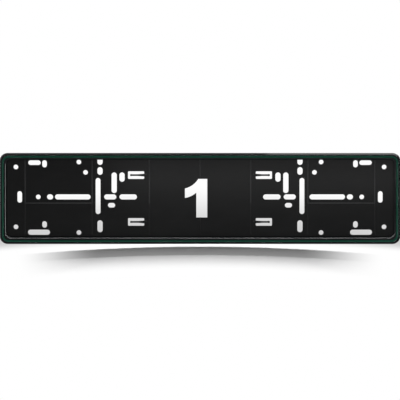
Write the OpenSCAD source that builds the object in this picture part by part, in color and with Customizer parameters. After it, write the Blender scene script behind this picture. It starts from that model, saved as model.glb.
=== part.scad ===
// Number plate holder: a slotted base plate, a surround that clips over it with a lip to
// hold the number plate, and a coloured trim ring set into the front of the surround.
// X runs along the width and Z is up. The front faces -Y and the mounting plane is y = 0.
// The origin is the centre of the four corner fixing holes, on the mounting plane.

/* [Overall size] */
// Width of the surround at its rear edge
outer_w = 530; // [522:1:560]
// Height of the surround at its rear edge
outer_h = 120.4; // [119:0.1:140]
// Corner radius of the surround at its rear edge
corner_r = 10.7; // [9:0.1:12]
// Distance of the surround's centre below the centre of the fixing holes
surround_drop = 2.3; // [1:0.1:3]

/* [Surround] */
// How far the outer flank leans in from the rear edge to the front
flare = 1.9; // [0.5:0.1:3]
// Radius of the outer front edge
edge_r = 0.7; // [0.5:0.1:1.2]
// Width of the rear skirt, from the rear edge to its inner face
skirt_t = 3; // [2.6:0.1:3.4]
// Step from the skirt's inner face to the wall of the number plate's pocket
seat_step = 0.8; // [0.5:0.1:1.2]
// Thickness of the lip over the pocket
crown_t = 2.1; // [2:0.1:3]
// Reach of the lip on the left and right, from the rear edge
lip_side = 8.7; // [8:0.1:11]
// Reach of the lip along the top
lip_top = 8.6; // [7.5:0.1:10]
// Reach of the lip along the bottom
lip_bottom = 10; // [8:0.1:12]
// Corner radius of the lip's inner edge
lip_corner_r = 7; // [4:0.1:8]
// Width of the round along the lip's inner edge
lip_round_w = 2.2; // [1:0.1:2.6]
// Depth of that round
lip_round_d = 1.8; // [0.8:0.1:1.9]

/* [Trim ring] */
// Width of the flat land on each side of the ring, where the crown is narrowest
trim_land = 0.5; // [0.15:0.05:0.8]
// Corner radius of the ring's centre line
trim_corner_r = 7.5; // [6:0.1:8.5]
// Depth of the groove that holds the ring
groove_depth = 1; // [0.6:0.1:1.2]
// Height of the ring's crown above the surround
trim_proud = 0.6; // [0.2:0.1:1]

/* [Base plate] */
// Distance from the mounting plane to the face that the number plate lies on
face_d = 7.5; // [6:0.1:9]
// Free height for the number plate between that face and the lip
pocket_t = 3; // [2:0.1:3.5]
// Wall of the base plate
wall_t = 2.2; // [1.6:0.1:3]
// Height of the face above the border round it, which runs on under the lip
field_step = 1.2; // [0.4:0.1:1.5]
// Distance of the face's left and right edges from the side of the surround
field_side = 10.4; // [9:0.1:12]
// How much lower than half the surround the face's top and bottom edges lie from the centre
field_edge = 8.8; // [8:0.1:10]
// Corner radius of the face
field_r = 6; // [2:0.1:8]
// Thickness of the rim and ribs behind the base plate
rib_t = 1.6; // [1:0.1:2.2]
// Width of the fine beads on the face
bead_w = 1.6; // [0.8:0.1:2]
// Height of the fine beads
bead_h = 0.35; // [0.2:0.05:0.6]
// Wall of the collar round each slot, behind the base plate
collar_t = 1.2; // [0.8:0.1:1.5]

/* [Fixing slots] */
// Width of the long slots
slot_w = 7; // [6:0.1:7.6]
// Width of the tall upright slot on each side of the numeral
tall_slot_w = 6.5; // [6:0.1:7.6]
// Diameter of the round holes and width of the small slots
hole_d = 6.3; // [5:0.1:7]
// Distance of the corner holes from the side of the surround
corner_hole_side = 21.8; // [19:0.1:22]
// Height of the corner holes above and below the centre
corner_hole_z = 39.6; // [36:0.1:42]
// Distance of the upright slots at the two ends from the side of the surround
edge_slot_side = 26.8; // [25:0.1:30]

/* [Numeral window] */
// Height of the numeral
numeral_h = 51; // [40:0.5:56]
// Width of the numeral's stem
stem_w = 14.5; // [10:0.5:16]
// Reach of the numeral's flag to the left of its stem
flag_w = 15; // [10:0.1:16]
// Height of the flag's end
flag_h = 12.5; // [8:0.5:16]
// Radius of the flag's two curved edges
flag_r = 28; // [24:1:60]

/* [Spring tongues] */
// Length of each tongue's window
tongue_window_w = 21.4; // [18:0.1:23]
// Height of each tongue's window
tongue_window_h = 10.1; // [8:0.1:12]
// Gap between the tongue's head and the end of its window
tongue_gap = 2.7; // [2:0.1:4]
// Width of the tongue at its root
tongue_root_w = 3.6; // [2:0.1:4]
// Width of the tongue's neck
tongue_neck_w = 2.2; // [1:0.1:2.6]
// Diameter of the tongue's head
tongue_head_d = 2.8; // [2:0.1:3.4]
// How far the head stands out of the face, to press on the number plate
tongue_press = 1.2; // [0.5:0.1:1.6]

/* [Snap fit] */
// Length of each snap lug on the surround
lug_l = 14; // [8:0.5:20]
// How far each lug reaches in from the skirt
lug_reach = 0.9; // [0.5:0.1:1.2]
// Distance between neighbouring lugs along the top and bottom
lug_pitch = 98; // [60:1:118]
// Clearance between the surround and the base plate's rim
fit_gap = 0.2; // [0.1:0.05:0.3]
// Side clearance of the trim ring in its groove
trim_gap = 0.05; // [0.02:0.01:0.1]
// Distance that the skirt stops short of the mounting plane
skirt_gap = 0.3; // [0.1:0.1:1]

/* [Hidden] */
$fn = 64;

// Depths, measured forwards from the mounting plane
rear_d = face_d - wall_t;
under_d = face_d + pocket_t;
crown_d = under_d + crown_t;
groove_d = crown_d - groove_depth;
border_d = face_d - field_step;

// Overlap that makes two layers one solid, and reach of a cutter past what it cuts
bond = 0.1;
clear = 1;

// Base plate outline, inside the skirt
base_inset = skirt_t + fit_gap;
base_w = outer_w - 2 * base_inset;
base_h = outer_h - 2 * base_inset;
base_r = corner_r - base_inset;

// Window inside the lip
window_w = outer_w - 2 * lip_side;
window_h = outer_h - lip_top - lip_bottom;
window_z = (lip_bottom - lip_top) / 2 - surround_drop;

// The raised face, centred on the fixing holes
field_w = outer_w - 2 * field_side;
field_h = outer_h - 2 * field_edge;

// The crown's flat runs from where the outer edge's round ends to where the lip's begins,
// and the trim ring lies in its middle
flat_from = flare + edge_r;
flat_to = min(lip_side, lip_top, lip_bottom) - lip_round_w;
trim_inset = (flat_from + flat_to) / 2;
trim_w = flat_to - flat_from - 2 * trim_land;
trim_x = outer_w / 2 - trim_inset - trim_corner_r;
trim_y = outer_h / 2 - trim_inset - trim_corner_r;

// Fixing slots of the right half: [x, z, length], the left half mirrors them
corner_x = outer_w / 2 - corner_hole_side;
edge_slot_x = outer_w / 2 - edge_slot_side;
long_level = [[198.1, 0, 8.2], [168.1, 0, 47.1], [118.6, 0, 16.1], [94.9, 0, 23.2],
              [212.8, -46.7, 29.1]];
long_upright = [[132.1, 47.3, 10], [132.1, 34.3, 10.3], [113.4, 18.7, 27.4],
                [103, 26.2, 12.5], [132.1, -38.8, 15.9]];
tall_upright = [[134.7, 1.2, 47.9]];
small_level = [[218.7, 45.3, 16.6], [116.9, -11, 9.5]];
small_upright = [[205.4, 43.8, 9.6], [205.4, -36.4, 8.7], [edge_slot_x, 0, 15.3]];
round_holes = [[160, 46.2], [160, -47.1], [151.2, 32.5], [213.7, 0],
               [corner_x, corner_hole_z], [corner_x, -corner_hole_z]];

// Spring tongues: centres of their windows on the right half
tongue_x = 84.4;
tongue_z = [28.9, -33];
tongue_l = tongue_window_w - tongue_gap;
tongue_window_r = 1.2;
tongue_wedge_l = 8;
spur_l = 4.5;
spur_w = 0.9;
spur_rise = 1.2;

// Numeral window: right edge of the stem, foot of the numeral, how far its flag hangs below
// its top, and the slopes with which the flag's upper and lower edges leave its end
stem_x = 9.6;
numeral_foot_z = -27.1;
flag_hang = 12.7;
flag_slopes = [13, 8];

// Beads on the face, with ribs of the same lines behind
end_panel_w = 34;
end_bead_x = outer_w / 2 - end_panel_w;
level_bead_x = 142.5;
level_bead_z = -7.1;
bead_x = [-end_bead_x, -level_bead_x, -67, 0, 67, level_bead_x, end_bead_x];
rib_end = 3;
bead_end = 0.3;

// Snap lugs along the top and bottom, and on the two ends
lug_x = [for (i = [-2:2]) i * lug_pitch];
lug_end_z = 24;
lug_seat = 1.9;
lug_d = rear_d - lug_seat;
lug_flat = 1;
lug_foot_d = 0.8;
lug_root = 0.5;
notch_gap = 0.3;
notch_side = 1;

function arc(c, r, from, to, steps) =
    [for (i = [0:steps]) let (a = from + (to - from) * i / steps) c + r * [cos(a), sin(a)]];

// Stands a model drawn face up, with depth along z, on its mounting plane
module stand() {
    rotate([90, 0, 0]) children();
}

module both_sides() {
    children();
    mirror([1, 0, 0]) children();
}

module both_edges() {
    children();
    mirror([0, 1, 0]) children();
}

module layer(from, to) {
    translate([0, 0, from]) linear_extrude(to - from) children();
}

module rounded(w, h, r) {
    square([w - 2 * r, h], center = true);
    square([w, h - 2 * r], center = true);
    for (x = [-1, 1], y = [-1, 1]) {
        translate([x * (w / 2 - r), y * (h / 2 - r)]) circle(r);
    }
}

// Carries a section, drawn as [distance outwards from the corner centre, depth], round
// a rectangle whose corner centres lie at half_x and half_y
module swept(half_x, half_y) {
    for (turn = [0, 1]) rotate(180 * turn) {
        translate([half_x, 0, 0]) rotate([90, 0, 0])
            linear_extrude(2 * half_y, center = true) children();
        translate([0, half_y, 0]) rotate([90, 0, 90])
            linear_extrude(2 * half_x, center = true) children();
        translate([half_x, half_y, 0]) rotate_extrude(angle = 90) children();
        translate([-half_x, half_y, 0]) rotate(90) rotate_extrude(angle = 90) children();
    }
}

// A slot with round ends, level or upright
module slot(length, width) {
    square([length - width, width], center = true);
    for (s = [-1, 1]) translate([s * (length - width) / 2, 0]) circle(width / 2);
}

module slots(list, width, upright, grow) {
    for (p = list) {
        translate([p[0], p[1]]) rotate(upright ? 90 : 0)
            slot(p[2] + 2 * grow, width + 2 * grow);
    }
}

// All fixing slots and holes of both halves, grown all round for their collars
module fixing_slots(grow) {
    both_sides() {
        slots(long_level, slot_w, false, grow);
        slots(long_upright, slot_w, true, grow);
        slots(tall_upright, tall_slot_w, true, grow);
        slots(small_level, hole_d, false, grow);
        slots(small_upright, hole_d, true, grow);
        for (p = round_holes) translate([p[0], p[1]]) circle(hole_d / 2 + grow);
    }
}

module tongue_windows() {
    both_sides() for (z = tongue_z) {
        translate([tongue_x, z]) rounded(tongue_window_w, tongue_window_h, tongue_window_r);
    }
}

// A circle that passes through a corner of the flag with the given slope there
module flag_circle(corner, slope) {
    translate(corner + flag_r * [-sin(slope), cos(slope)]) circle(flag_r);
}

// A plain figure one: a stem, and a flag between two arcs
module numeral() {
    top_z = numeral_foot_z + numeral_h;
    stem_left = stem_x - stem_w;
    flag_left = stem_left - flag_w;
    flag_top = top_z - flag_hang;
    flag_foot = flag_top - flag_h;
    difference() {
        union() {
            translate([stem_left, numeral_foot_z]) square([stem_w, numeral_h]);
            intersection() {
                translate([flag_left, flag_foot]) square([flag_w + clear, top_z - flag_foot]);
                flag_circle([flag_left, flag_foot], flag_slopes[1]);
            }
        }
        flag_circle([flag_left, flag_top], flag_slopes[0]);
    }
}

// A spring tongue, drawn from its root outwards, with the fine spur that runs on from it
module tongue() {
    head_r = tongue_head_d / 2;
    head_d = face_d + tongue_press / 2;
    layer(rear_d, face_d) both_edges() polygon([
        [-clear, 0], [-clear, tongue_root_w / 2], [0, tongue_root_w / 2],
        [tongue_wedge_l, tongue_neck_w / 2], [tongue_l - head_r, tongue_neck_w / 2],
        [tongue_l - head_r, 0]]);
    translate([tongue_l - head_r, 0]) {
        layer(rear_d, head_d) circle(head_r);
        translate([0, 0, head_d]) cylinder(tongue_press / 2, head_r, head_r / 2);
    }
    translate([-spur_l, spur_rise - spur_w / 2]) layer(face_d - bond, face_d + bead_h)
        square([spur_l, spur_w]);
}

// Upright and level lines, used for the beads in front and the ribs behind
module lines(width) {
    for (x = bead_x) {
        translate([x, -surround_drop]) square([width, base_h - 2 * rib_end], center = true);
    }
    both_sides() translate([level_bead_x, level_bead_z - width / 2])
        square([end_bead_x - level_bead_x, width]);
}

module base_outline(inset) {
    translate([0, -surround_drop])
        rounded(base_w - 2 * inset, base_h - 2 * inset, base_r - inset);
}

module field_outline(inset) {
    rounded(field_w - 2 * inset, field_h - 2 * inset, field_r - inset);
}

// Places a snap feature, drawn as for the top edge at x = 0, round the rim
module round_the_rim() {
    translate([0, -surround_drop]) for (turn = [0, 1]) rotate(180 * turn) {
        for (x = lug_x) translate([x, outer_h / 2, 0]) children();
        for (z = [-lug_end_z, lug_end_z]) translate([outer_w / 2, z, 0]) rotate(-90) children();
    }
}

module lug() {
    translate([0, -skirt_t, 0]) rotate([90, 0, 90]) linear_extrude(lug_l, center = true)
        polygon([[lug_root, lug_foot_d], [0, lug_foot_d], [-lug_reach, lug_d - lug_flat],
                 [-lug_reach, lug_d], [lug_root, lug_d]]);
}

// The opening in the rim that a lug snaps into
module notch() {
    translate([0, -base_inset - rib_t / 2]) layer(-clear, lug_d + notch_gap)
        square([lug_l + 2 * notch_side, rib_t + clear], center = true);
}

module base_plate() {
    color("#1b1c1e") stand() {
        difference() {
            union() {
                layer(rear_d, face_d) field_outline(0);
                layer(border_d - wall_t, border_d) difference() {
                    base_outline(0);
                    field_outline(wall_t);
                }
                layer(0, rear_d - bond) difference() {
                    base_outline(0);
                    base_outline(rib_t);
                }
                layer(0, rear_d + bond) intersection() {
                    base_outline(0);
                    union() {
                        lines(rib_t);
                        fixing_slots(collar_t);
                    }
                }
                layer(face_d - bond, face_d + bead_h) intersection() {
                    lines(bead_w);
                    field_outline(bead_end);
                }
            }
            layer(-clear, crown_d) {
                fixing_slots(0);
                tongue_windows();
                numeral();
            }
            round_the_rim() notch();
        }
        both_sides() for (z = tongue_z) {
            translate([tongue_x - tongue_window_w / 2, z, 0]) tongue();
        }
    }
}

// Section of the flank, the crown, the pocket's wall and the skirt
module surround_section() {
    flank_angle = atan(flare / (crown_d - edge_r));
    edge_centre = [corner_r - flare - edge_r, crown_d - edge_r];
    skirt_wall = corner_r - skirt_t;
    pocket_wall = skirt_wall - seat_step;
    polygon(concat(
        [[corner_r, skirt_gap]],
        arc(edge_centre, edge_r, flank_angle, 90, 6),
        [[0, crown_d], [0, under_d], [pocket_wall, under_d], [pocket_wall, border_d],
         [skirt_wall, border_d], [skirt_wall, skirt_gap]]));
}

// Section of what is cut away to round the lip's inner edge, a quarter of an ellipse
module lip_round_section() {
    foot = crown_d - lip_round_d;
    outer = lip_corner_r + lip_round_w;
    polygon(concat(
        [for (i = [0:8]) let (a = 90 + 90 * i / 8)
            [outer + lip_round_w * cos(a), foot + lip_round_d * sin(a)]],
        [[lip_corner_r - clear, foot], [lip_corner_r - clear, crown_d + clear],
         [outer, crown_d + clear]]));
}

module surround() {
    half_x = outer_w / 2 - corner_r;
    half_y = outer_h / 2 - corner_r;
    groove_w = trim_w + 2 * trim_gap;
    color("#121314") stand() {
        translate([0, -surround_drop, 0]) difference() {
            union() {
                swept(half_x, half_y) surround_section();
                layer(under_d, crown_d) square([2 * half_x, 2 * half_y], center = true);
            }
            swept(trim_x, trim_y) translate([trim_corner_r - groove_w / 2, groove_d])
                square([groove_w, groove_depth + clear]);
            translate([0, window_z + surround_drop, 0]) {
                layer(0, crown_d + clear) rounded(window_w, window_h, lip_corner_r);
                swept(window_w / 2 - lip_corner_r, window_h / 2 - lip_corner_r)
                    lip_round_section();
            }
        }
        round_the_rim() lug();
    }
}

module trim_ring() {
    half = trim_w / 2;
    arch_r = (half * half + trim_proud * trim_proud) / (2 * trim_proud);
    arch_angle = asin(half / arch_r);
    color("#1f4a3a") stand() translate([0, -surround_drop, 0])
        swept(trim_x, trim_y) translate([trim_corner_r, crown_d]) polygon(concat(
            [[half, -groove_depth]],
            arc([0, trim_proud - arch_r], arch_r, 90 - arch_angle, 90 + arch_angle, 8),
            [[-half, -groove_depth]]));
}

base_plate();
surround();
trim_ring();
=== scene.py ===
import math

import bpy
import numpy as np
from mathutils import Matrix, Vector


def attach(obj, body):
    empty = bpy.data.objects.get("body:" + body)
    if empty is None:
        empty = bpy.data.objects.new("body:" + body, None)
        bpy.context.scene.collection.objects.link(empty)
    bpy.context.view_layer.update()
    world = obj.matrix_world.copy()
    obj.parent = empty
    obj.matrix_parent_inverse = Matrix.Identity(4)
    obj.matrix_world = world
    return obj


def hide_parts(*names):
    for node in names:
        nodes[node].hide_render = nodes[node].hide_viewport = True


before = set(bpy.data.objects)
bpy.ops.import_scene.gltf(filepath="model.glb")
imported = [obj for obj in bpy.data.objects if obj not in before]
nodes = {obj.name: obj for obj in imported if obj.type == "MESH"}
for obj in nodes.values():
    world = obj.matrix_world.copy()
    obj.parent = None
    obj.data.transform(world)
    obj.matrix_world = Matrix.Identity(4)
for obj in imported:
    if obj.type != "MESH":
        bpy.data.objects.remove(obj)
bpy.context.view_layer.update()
print("frame loaded:", ", ".join(sorted(nodes)))


class Wire:  # one socket; arithmetic on it adds Math nodes
    def __init__(self, shader, socket):
        self.shader, self.socket = shader, socket

    def maths(self, operation, *values):
        return self.shader.node("ShaderNodeMath", {"operation": operation}, dict(enumerate(values)))

    def __add__(self, other):
        return self.maths("ADD", self, other)

    def __sub__(self, other):
        return self.maths("SUBTRACT", self, other)

    def __rsub__(self, other):
        return self.maths("SUBTRACT", other, self)

    def __mul__(self, other):
        return self.maths("MULTIPLY", self, other)

    __radd__, __rmul__ = __add__, __mul__

    def between(self, low, high):  # 0 below low, 1 above high, smooth in between
        return self.shader.node("ShaderNodeMapRange", {"interpolation_type": "SMOOTHSTEP"},
                                {"Value": self, "From Min": low, "From Max": high})


class Shader:  # a node tree; node() sets a new node's own settings first, then its sockets
    def __init__(self, tree):
        self.tree = tree
        tree.nodes.clear()

    def node(self, kind, settings=None, sockets=None, output=0):
        made = self.tree.nodes.new(kind)
        for key, value in (settings or {}).items():
            setattr(made, key, value)
        for key, value in (sockets or {}).items():
            if isinstance(value, Wire):
                self.tree.links.new(value.socket, made.inputs[key])
            else:
                made.inputs[key].default_value = value
        return Wire(self, made.outputs[output]) if made.outputs else None

    def colours(self, factor, first, second):  # 6, 7 and output 2 are the Mix node's colour sockets
        return self.node("ShaderNodeMix", {"data_type": "RGBA"},
                         {0: factor, 6: (*first, 1), 7: (*second, 1)}, output=2)

    def noise(self, place, scale, detail, roughness=0.5):
        return self.node("ShaderNodeTexNoise", {}, {"Vector": place, "Scale": scale, "Detail": detail,
                                                   "Roughness": roughness})


def newFinish(name):
    material = bpy.data.materials.new(name)
    material.use_nodes = True
    return material, Shader(material.node_tree)


def gridFaces(rows, columns, closeRows=True, closeColumns=True):
    # one quad between each pair of neighbours of a grid that may close on itself both ways
    r = np.arange(rows if closeRows else rows - 1)[:, None]
    c = np.arange(columns if closeColumns else columns - 1)[None, :]
    nextR, nextC = (r + 1) % rows, (c + 1) % columns
    return np.stack([r * columns + c, nextR * columns + c, nextR * columns + nextC, r * columns + nextC],
                    axis=-1).reshape(-1, 4)


def outwards(points, faces):
    # the quads turned over where their signed volume, the sum of a . (b x c) and a . (c x d), is negative
    a, b, c, d = (points[faces[:, i]] for i in range(4))
    volume = np.einsum("ij,ij->i", a, np.cross(b, c) + np.cross(c, d)).sum()
    return faces if volume > 0 else faces[:, ::-1]


def newPiece(name, points, faces, sharpAngle=None):
    # a smooth mesh; where a sharp angle is given, edges that bend further than that stay sharp
    mesh = bpy.data.meshes.new(name)
    mesh.from_pydata(points.tolist(), [], faces.tolist())
    mesh.polygons.foreach_set("use_smooth", np.ones(len(faces), bool))
    if sharpAngle:
        mesh.set_sharp_from_angle(angle=math.radians(sharpAngle))
    mesh.update()
    made = bpy.data.objects.new(name, mesh)
    bpy.context.scene.collection.objects.link(made)
    return made


def gridsToMesh(name, grids, closed, sharpAngle=32.0):
    # each grid of points becomes one closed skin; closed says whether its rows meet again
    points, faces, used = [], [], 0
    for grid, rowsMeet in zip(grids, closed):
        flat = grid.reshape(-1, 3)
        points.append(flat)
        faces.append(outwards(flat, gridFaces(*grid.shape[:2], closeRows=rowsMeet)) + used)
        used += len(flat)
    return newPiece(name, np.concatenate(points), np.concatenate(faces), sharpAngle)


def withPaintedLight(piece, values):
    # one number at each point, which the finish reads as a share of its paler colour: painted light,
    # lighter where the ring and the beads should catch light
    piece.data.attributes.new("paintedLight", "FLOAT", "POINT").data.foreach_set("value", values)
    return piece


# The surround, in metres. Each station of its section is a rounded rectangle at one depth, counted
# forwards from the mounting plane.
surroundShape = {
    "halfWidth": 0.265, "halfHeight": 0.0602, "cornerRadius": 0.0107, "centreZ": -0.0023,
    "windowHalfWidth": 0.2563, "windowHalfHeight": 0.0509, "windowRadius": 0.007, "windowZ": -0.0016,
    "grooveHalfWidth": 0.2602, "grooveHalfHeight": 0.0557, "grooveRadius": 0.0075,
    "grooveWidth": 0.0029, "grooveDepth": 0.001,
    "flare": 0.0019, "edgeRadius": 0.0003, "lipRoundWidth": 0.0022, "lipRoundDepth": 0.0018,
    "crown": 0.0126, "underLip": 0.0105, "border": 0.0063, "foot": 0.0003,
    "skirtInset": 0.003, "pocketInset": 0.0038, "smallRound": 0.00012, "grooveRound": 0.00003,
    "roundMiddle": 0.3, "edgeSteps": 9, "lipSteps": 13, "perCorner": 18, "perSide": 8,
}
# the snap lugs: their section as [outwards, depth] from the skirt, and their places along the sides
lugShape = {
    "section": [[0.0005, 0.0008], [0, 0.0008], [-0.0009, 0.0024], [-0.0009, 0.0034], [0.0005, 0.0034]],
    "halfLength": 0.007, "pinch": 0.01, "alongWidth": (-0.196, -0.098, 0, 0.098, 0.196),
    "alongHeight": (-0.024, 0.024),
}


def roundedRing(halfWidth, halfHeight, radius, centreZ, depth):
    # corner i is an arc from 90 i to 90 (i + 1) degrees about its own centre, and even steps
    # along the straight join the end of each arc to the start of the next
    shape = surroundShape
    angles = np.radians(90 * np.arange(4)[:, None] + np.linspace(0, 90, shape["perCorner"] + 1))
    centres = np.array([[1, 1], [-1, 1], [-1, -1], [1, -1]]) * [halfWidth - radius, halfHeight - radius]
    arcs = centres[:, None] + radius * np.stack([np.cos(angles), np.sin(angles)], axis=-1)
    share = np.linspace(0, 1, shape["perSide"] + 1)[1:-1, None]
    straights = arcs[:, -1:] * (1 - share) + np.roll(arcs, -1, axis=0)[:, :1] * share
    flat = np.concatenate([arcs, straights], axis=1).reshape(-1, 2)
    return np.stack([flat[:, 0], np.full(len(flat), -depth), flat[:, 1] + centreZ], axis=-1)


def outerRing(inset, depth):
    # the outline, moved inwards
    s = surroundShape
    return roundedRing(s["halfWidth"] - inset, s["halfHeight"] - inset, s["cornerRadius"] - inset,
                       s["centreZ"], depth)


def grooveRing(offset, depth):
    # the groove's middle line, moved outwards
    s = surroundShape
    return roundedRing(s["grooveHalfWidth"] + offset, s["grooveHalfHeight"] + offset,
                       s["grooveRadius"] + offset, s["centreZ"], depth)


def windowRing(grown, depth):
    # the window, moved outwards into the lip
    s = surroundShape
    return roundedRing(s["windowHalfWidth"] + grown, s["windowHalfHeight"] + grown,
                       s["windowRadius"] + grown, s["windowZ"], depth)


def lugGrids():
    # a section carried along the lug's length and closed at each end on its own middle, then turned
    # and moved to each place round the skirt
    s, lug = surroundShape, lugShape
    section = np.array(lug["section"])
    middle = section.mean(axis=0)
    sections = np.array([middle + (section - middle) * size
                         for size in (lug["pinch"], 1, 1, lug["pinch"])])
    along = np.broadcast_to(lug["halfLength"] * np.array([-1, -1, 1, 1])[:, None], sections.shape[:2])
    places = [(0, shift, s["halfHeight"]) for shift in lug["alongWidth"]]
    places += [(90, shift, s["halfWidth"]) for shift in lug["alongHeight"]]
    places += [(angle + 180, shift, reach) for angle, shift, reach in places]
    grids = []
    for angle, shift, reach in places:
        turn, x, out = math.radians(angle), along + shift, sections[..., 0] + reach - s["skirtInset"]
        grids.append(np.stack([x * math.cos(turn) - out * math.sin(turn), -sections[..., 1],
                               x * math.sin(turn) + out * math.cos(turn) + s["centreZ"]], axis=-1))
    return grids


def makeSurround():
    # the stations run from the foot up the flank, over the crown, the groove and the lip, and back
    # down the inside
    s = surroundShape
    crown, foot, radius = s["crown"], s["foot"], s["edgeRadius"]
    skirt, pocket = s["skirtInset"], s["pocketInset"]
    flank = math.atan(s["flare"] / (crown - radius))
    edgeInset, half, middle = s["flare"] + radius, s["grooveWidth"] / 2, s["roundMiddle"]
    tiny, fine = s["smallRound"], s["grooveRound"]
    rings = [outerRing(tiny, foot), outerRing(middle * tiny, foot + middle * tiny),
             outerRing(0.0, foot + tiny)]
    for angle in np.linspace(flank, math.pi / 2, s["edgeSteps"]):  # the outer front edge, a round
        rings.append(outerRing(edgeInset - radius * math.cos(angle),
                               crown - radius + radius * math.sin(angle)))
    rings.append(outerRing(edgeInset + fine, crown))  # lets the flat beside the round shade flat
    for side in (1, -1):  # down into the groove and up again, over two small rounds
        wall = [grooveRing(side * (half + 2 * fine), crown), grooveRing(side * (half + fine), crown),
                grooveRing(side * (half + middle * fine), crown - middle * fine),
                grooveRing(side * half, crown - fine), grooveRing(side * half, crown - s["grooveDepth"])]
        rings += wall if side > 0 else wall[::-1]
    rings.append(windowRing(s["lipRoundWidth"] + fine, crown))
    for angle in np.linspace(math.pi / 2, math.pi, s["lipSteps"]):  # the lip's edge, part of an ellipse
        rings.append(windowRing(s["lipRoundWidth"] * (1 + math.cos(angle)),
                                crown - s["lipRoundDepth"] * (1 - math.sin(angle))))
    rings += [windowRing(0.0, s["underLip"] + tiny), windowRing(tiny, s["underLip"]),
              outerRing(pocket, s["underLip"]), outerRing(pocket, s["border"]),
              outerRing(skirt, s["border"]), outerRing(skirt, foot + tiny), outerRing(skirt - tiny, foot)]
    lugs = lugGrids()
    return gridsToMesh("surroundShell", [np.array(rings)] + lugs, [True] + [False] * len(lugs))


surroundShell = makeSurround()
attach(surroundShell, "root")
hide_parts("surround")
print("surround:", len(surroundShell.data.polygons), "faces")

# The trim ring, an arched band in the groove.
trimShape = {"halfWidth": 0.00125, "proud": 0.0006, "arch": 16}


def makeTrim():
    # an arc of the circle through both edges of the band and its top, with a foot in the groove
    t, crown = trimShape, surroundShape["crown"]
    seat = crown - surroundShape["grooveDepth"]
    radius = (t["halfWidth"] ** 2 + t["proud"] ** 2) / (2 * t["proud"])
    reach = math.asin(t["halfWidth"] / radius)
    rings = [grooveRing(t["halfWidth"], seat)]
    for angle in np.linspace(reach, -reach, t["arch"] + 1):
        rings.append(grooveRing(radius * math.sin(angle),
                                crown + t["proud"] - radius * (1 - math.cos(angle))))
    rings.append(grooveRing(-t["halfWidth"], seat))
    band = gridsToMesh("trimBand", [np.array(rings)], [True])
    across = np.linspace(1, 0, t["arch"] + 1)  # 1 along the outer edge, 0 along the inner one: painted light, the outer slope lighter
    return withPaintedLight(band, np.repeat(np.concatenate([[1], across, [0]]), len(rings[0])))


trimBand = makeTrim()
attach(trimBand, "root")
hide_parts("trim_ring")
print("trim ring:", len(trimBand.data.polygons), "faces")

# The fine beads on the base plate's face, each a low arch with closed, faded ends. The uprights are given
# as x and the share of painted highlight each gets, which the finish reads.
beadShape = {
    "width": 0.0019, "spurWidth": 0.0012, "height": 0.00043, "flatness": 8, "face": 0.0075, "foot": 0.0001,
    "top": 0.0511, "bottom": -0.0511, "numeralTop": 0.0239, "numeralFoot": -0.0271,
    "uprights": ((0.067, 0.58), (0.1425, 0.59), (0.231, 0.60)), "middlePaintedHighlight": 0.52, "levelPaintedHighlight": 1.0,
    "lowerHighlightDrop": 0.15, "levelFrom": 0.1425, "levelTo": 0.231, "levelZ": -0.0079,
    "spurFrom": 0.0738, "spurTo": 0.0692, "spurZ": (0.0301, -0.0318),
    "fade": 0.0012, "fadeMiddle": 0.3, "endSize": 0.0004, "inner": (0.35, 0.65, 12), "steps": 13,
    "sharpAngle": 60,
}


def makeBeads():
    # across, the height falls by the flatness power of the sine of even steps; at the ends, width and
    # height shrink with the square root of the distance from the end
    b, sides = beadShape, (-1, 1)
    runs = [((x * side, b["bottom"]), (x * side, b["top"]), share)
            for x, share in b["uprights"] for side in sides]
    runs += [((0, b["bottom"]), (0, b["numeralFoot"]), b["middlePaintedHighlight"]),
             ((0, b["numeralTop"]), (0, b["top"]), b["middlePaintedHighlight"])]
    runs += [((side * b["levelFrom"], b["levelZ"]), (side * b["levelTo"], b["levelZ"]), b["levelPaintedHighlight"])
             for side in sides]
    runs += [((side * b["spurTo"], z), (side * b["spurFrom"], z), b["levelPaintedHighlight"])
             for side in sides for z in b["spurZ"]]
    across = np.sin(np.linspace(-math.pi / 2, math.pi / 2, b["steps"]))
    rise = np.append(b["height"] * (1 - across ** b["flatness"]), [-b["foot"]] * 2)  # arch and closed foot
    grids, paintedHighlight = [], []
    for start, end, share in runs:
        start, end = np.array(start, float), np.array(end, float)
        width = b["spurWidth"] if start[1] in b["spurZ"] else b["width"]
        offset = np.append(across, [1, -1]) * width / 2
        length = np.linalg.norm(end - start)
        along = (end - start) / length
        cross = np.array([-along[1], along[0]])
        faded = np.array([0, b["fadeMiddle"], 1]) * b["fade"]
        place = np.concatenate([faded, np.linspace(*b["inner"]) * length, length - faded[::-1]])
        size = np.sqrt(np.clip(np.minimum(place, length - place) / b["fade"], b["endSize"], 1))
        centre = start + along * place[:, None]
        flat = centre[:, None] + cross * (offset * size[:, None])[:, :, None]
        depth = b["face"] + rise * np.where(rise > 0, size[:, None], 1.0)
        grids.append(np.stack([flat[..., 0], -depth, flat[..., 1]], axis=-1))
        lower = centre[:, 1] < b["levelZ"] - b["fade"]  # painted highlight weaker below the level bead
        paintedHighlight.append(np.repeat(share - b["lowerHighlightDrop"] * lower, len(offset)))
    beads = gridsToMesh("faceBeads", grids, [False] * len(grids), b["sharpAngle"])
    return withPaintedLight(beads, np.concatenate(paintedHighlight))


faceBeads = makeBeads()
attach(faceBeads, "root")
print("beads:", len(faceBeads.data.polygons), "faces")

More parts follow.
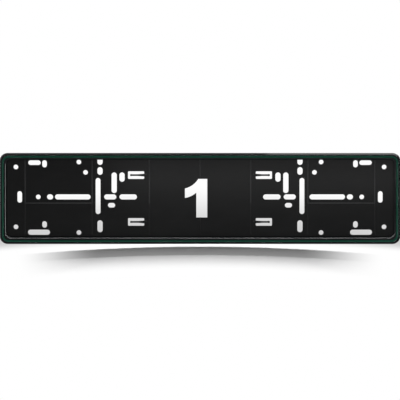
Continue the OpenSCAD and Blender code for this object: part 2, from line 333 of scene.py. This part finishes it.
# The plastics: the two colours between which each drifts, its gloss and its grain. The cloudiness
# that they share is drawn out along the width.
mottle = {"drift": 11.0, "driftDetail": 3.0, "flow": (14.0, 14.0, 42.0), "flowDetail": 4.0,
          "flowRoughness": 0.6, "range": (0.35, 0.65), "refraction": 1.48}
baseFinish = {
    "deep": (0.0055, 0.0057, 0.0061), "pale": (0.0075, 0.0077, 0.0081), "roughness": 0.36,
    "specular": 0.3, "cloud": 0.08, "grain": 2400.0, "grainDepth": 0.00003, "grainStrength": 0.25,
}
# the beads' paler colour is a painted highlight along the lines, brightest on the level bead
beadFinish = baseFinish | {
    "deep": (0.0095, 0.0098, 0.0102), "pale": (0.040, 0.041, 0.042), "roughness": 0.30, "paintedLightShare": 1.0,
}
surroundFinish = {
    "deep": (0.0008, 0.0009, 0.0010), "pale": (0.0014, 0.0015, 0.0016), "roughness": 0.08,
    "specular": 0.08, "cloud": 0.04, "grain": 3200.0, "grainDepth": 0.00002, "grainStrength": 0.10,
}
# the ring's pale colour, given to its outer slope, is painted light
trimFinish = {
    "deep": (0.0030, 0.047, 0.0265), "pale": (0.0085, 0.067, 0.0430), "roughness": 0.30,
    "specular": 0.12, "cloud": 0.08, "grain": 3000.0, "grainDepth": 0.00002, "grainStrength": 0.10,
    "paintedLightShare": 0.7,
}


def mouldedPlastic(name, finish):
    # colour and gloss drift slowly over the moulding, and a fine grain stands in the normal
    material, shader = newFinish(name)
    m = mottle
    place = shader.node("ShaderNodeTexCoord", output="Object")
    drift = shader.noise(place, m["drift"], m["driftDetail"])
    stretched = shader.node("ShaderNodeMapping", {}, {"Vector": place, "Scale": m["flow"]})
    flow = shader.noise(stretched, 1.0, m["flowDetail"], m["flowRoughness"])
    grain = shader.noise(place, finish["grain"], 1.0)
    roughness = (drift - 0.5) * finish["cloud"] + (flow - 0.5) * finish["cloud"] + finish["roughness"]
    bump = shader.node("ShaderNodeBump", {}, {"Strength": finish["grainStrength"],
                                             "Distance": finish["grainDepth"], "Height": grain})
    shade = flow.between(*m["range"])
    if "paintedLightShare" in finish:  # painted light: paler on the ring's outer slope, and painted highlights along the beads
        pale = shader.node("ShaderNodeAttribute", {"attribute_name": "paintedLight"}, output="Fac")
        shade = pale.between(*m["range"]) * finish["paintedLightShare"] + shade * (1 - finish["paintedLightShare"])
    surface = shader.node("ShaderNodeBsdfPrincipled", {}, {
        "Base Color": shader.colours(shade, finish["deep"], finish["pale"]), "Roughness": roughness,
        "Normal": bump, "IOR": m["refraction"], "Specular IOR Level": finish["specular"]})
    shader.node("ShaderNodeOutputMaterial", {}, {"Surface": surface})
    return material


def dress(piece, material):
    piece.data.materials.clear()
    piece.data.materials.append(material)


for name, finish, pieces in (("satinBaseBlack", baseFinish, [nodes["base_plate"]]),
                             ("beadsPaintedHighlight", beadFinish, [faceBeads]),
                             ("surroundBlack", surroundFinish, [surroundShell, nodes["surround"]]),
                             ("trimGreen", trimFinish, [trimBand, nodes["trim_ring"]])):
    material = mouldedPlastic(name, finish)
    for piece in pieces:
        dress(piece, material)
print("finishes set")

# The floor, level behind the holder, falling away in front of it and to the sides.
floorShape = {
    "top": -0.0653, "sideFall": 0.19, "sideMost": 0.03,
    "frontSlope": 0.90, "frontMost": 0.35, "crestY": 0.001, "bend": 0.003,
    # its lines, from, to and how many: even steps near the holder, and growing ones further off
    "nearX": (-0.34, 0.34, 69), "farX": (0.36, 4, 14),
    "nearY": (-0.2, 0.02, 111), "frontY": (0.21, 3, 16), "rearY": (0.024, 5, 24),
}
# where the lit floor gives way to plain white, and where behind the holder a painted shade dims the white
floorTone = {"colour": 0.93, "shadowX": (0.13, 0.245), "shadowY": (0.016, 0.042),
             "paintedShadeDepth": 0.38, "paintedShadeFrom": (0.05, 0.3), "paintedShadeTo": (0.25, 2.0)}


def makeFloor():
    # z falls by a parabola of x, and in front by a slope that starts round a bend; tanh levels out both
    f = floorShape
    farX, frontY, rearY = (np.geomspace(*f[key]) for key in ("farX", "frontY", "rearY"))
    x = np.concatenate([-farX[::-1], np.linspace(*f["nearX"]), farX])
    y = np.concatenate([-frontY[::-1], np.linspace(*f["nearY"]), rearY])
    gridX, gridY = np.meshgrid(x, y)
    side = f["sideMost"] * np.tanh(f["sideFall"] * gridX ** 2 / f["sideMost"])
    ahead = f["crestY"] - gridY
    front = f["frontSlope"] * (np.sqrt(ahead ** 2 + f["bend"] ** 2) + ahead - f["bend"]) / 2
    front = f["frontMost"] * np.tanh(front / f["frontMost"])
    points = np.stack([gridX, gridY, f["top"] - side - front], axis=-1).reshape(-1, 3)
    return newPiece("paleFloor", points, gridFaces(len(y), len(x), False, False)[:, ::-1])


def floorFinish():
    # round the holder the lit floor shows with its shadow; further off the camera sees plain white, with a
    # painted shade behind the holder, where the lower slots show it
    material, shader = newFinish("paleFloor")
    t = floorTone
    place = shader.node("ShaderNodeTexCoord", output="Object")
    x, y = (shader.node("ShaderNodeSeparateXYZ", {}, {0: place}, output=i) for i in (0, 1))
    far = x.maths("ABSOLUTE", x).between(*t["shadowX"])
    away = y.maths("ABSOLUTE", y).between(*t["shadowY"])
    white = far.maths("MAXIMUM", far, away) * shader.node("ShaderNodeLightPath", output="Is Camera Ray")
    paintedShadeTone = 1 - (1 - y.between(*t["paintedShadeTo"])) * y.between(*t["paintedShadeFrom"]) * t["paintedShadeDepth"]
    lit = shader.node("ShaderNodeBsdfDiffuse", {}, {"Color": (*[t["colour"]] * 3, 1)})
    plain = shader.node("ShaderNodeEmission", {}, {"Color": shader.colours(paintedShadeTone, (0, 0, 0), (1, 1, 1))})
    shader.node("ShaderNodeOutputMaterial", {}, {"Surface": shader.node(
        "ShaderNodeMixShader", {}, {0: white, 1: lit, 2: plain})})
    return material


floor = makeFloor()
dress(floor, floorFinish())
floor.visible_glossy = False
print("floor made")

# The world. The plastic mirrors one level in front, and behind it, past the turn, a level that leans
# to the left and upwards. The camera itself sees white.
worldLight = {"front": 0.305, "rear": 0.035, "rearLeft": 0.316, "rearUp": 0.143, "turn": (0.2, 0.8)}
world = bpy.data.worlds.new("studio")
bpy.context.scene.world = world
world.use_nodes = True
sky = Shader(world.node_tree)
direction = sky.node("ShaderNodeTexCoord", output="Generated")
right, back, up = (sky.node("ShaderNodeSeparateXYZ", {}, {0: direction}, output=i) for i in range(3))
rear = back.between(*worldLight["turn"])
level = (1 - rear) * worldLight["front"]
level += rear * (right * -worldLight["rearLeft"] + up * worldLight["rearUp"] + worldLight["rear"])
seen = sky.node("ShaderNodeLightPath", output="Is Camera Ray")
sky.node("ShaderNodeOutputWorld", {}, {"Surface": sky.node(
    "ShaderNodeBackground", {}, {"Color": (1, 1, 1, 1), "Strength": seen + (1 - seen) * level})})


def lampGroup(name, *pieces):
    group = bpy.data.collections.new(name)
    for piece in pieces:
        group.objects.link(piece)
    return group


litObject = lampGroup("litObject", nodes["base_plate"], surroundShell, trimBand, faceBeads)
litInner = lampGroup("litInner", nodes["base_plate"], trimBand, faceBeads)
litSurround = lampGroup("litSurround", surroundShell)
litTrim = lampGroup("litTrim", trimBand)
litFloor = lampGroup("litFloor", floor)
lamps = {  # place, what it points at, width and height, power, what it lights
    "stripLamp": ((0.085, -0.16, 0.02), (0.085, 0, 0.012), (0.41, 0.02), 0.0526, litObject),
    "rightLamp": ((1.1, -0.22, 0.05), (0, 0, 0), (0.3, 0.6), 51.9, litSurround),
    "leftLamp": ((-1.1, -0.22, 0.05), (0, 0, 0), (0.3, 0.6), 1.78, litSurround),
    "longLamp": ((0.0, -0.67, 0.20), (0.0, 0, 0), (0.90, 0.03), 31.4, litSurround),
    "midLamp": ((0.15, -0.67, 0.20), (0.15, 0, 0), (0.30, 0.03), 9.84, litSurround),
    "glintLamp": ((0.158, -0.67, 0.20), (0.158, 0, 0), (0.06, 0.03), 1.59, litSurround),
    "rearLamp": ((0.45, 0.90, 0.39), (0.30, 0, 0.06), (0.70, 0.20), 0.27, litSurround),
    "ringLeftLamp": ((-0.34, -0.26, 0), (-0.26, 0, 0), (0.08, 0.14), 0.144, litTrim),
    "ringRightLamp": ((0.34, -0.26, 0), (0.26, 0, 0), (0.08, 0.14), 0.136, litTrim),
    "backLamp": ((-0.5, 1.1, 0.25), (0, 0, 0), (1.8, 0.9), 4.5, litInner),
    "floorLamp": ((0.0, 0.05, 1.2), (0, 0, -0.065), (0.5, 0.22), 22.0, litFloor),
}


def areaLamp(name, place, aim, size, power, receivers):
    data = bpy.data.lights.new(name, "AREA")
    data.shape, data.size, data.size_y, data.energy = "RECTANGLE", size[0], size[1], power
    lamp = bpy.data.objects.new(name, data)
    bpy.context.scene.collection.objects.link(lamp)
    lamp.location = place
    lamp.rotation_mode = "QUATERNION"
    lamp.rotation_quaternion = (Vector(place) - Vector(aim)).to_track_quat("Z", "Y")
    lamp.visible_camera = False
    lamp.light_linking.receiver_collection = receivers


for name, values in lamps.items():
    areaLamp(name, *values)
print("lamps placed")

# The camera, almost straight on, slightly from above, through a long lens.
cameraPlace = {"distance": 7.0, "elevation": 2.5, "aim": (0.0, -0.0075, -0.00398), "frameWidth": 0.5284,
               "sensor": 36.0, "nearest": 0.1, "furthest": 60.0}
cameraData = bpy.data.cameras.new("camera")
camera = bpy.data.objects.new("camera", cameraData)
bpy.context.scene.collection.objects.link(camera)
tilt = math.radians(cameraPlace["elevation"])
towardsCamera = Vector((0, -math.cos(tilt), math.sin(tilt)))
camera.location = Vector(cameraPlace["aim"]) + towardsCamera * cameraPlace["distance"]
camera.rotation_mode = "QUATERNION"
camera.rotation_quaternion = towardsCamera.to_track_quat("Z", "Y")
cameraData.sensor_width = cameraPlace["sensor"]
cameraData.lens = cameraPlace["sensor"] * cameraPlace["distance"] / cameraPlace["frameWidth"]
cameraData.clip_start, cameraData.clip_end = cameraPlace["nearest"], cameraPlace["furthest"]
bpy.context.scene.camera = camera
bpy.context.scene.view_settings.view_transform = "Standard"
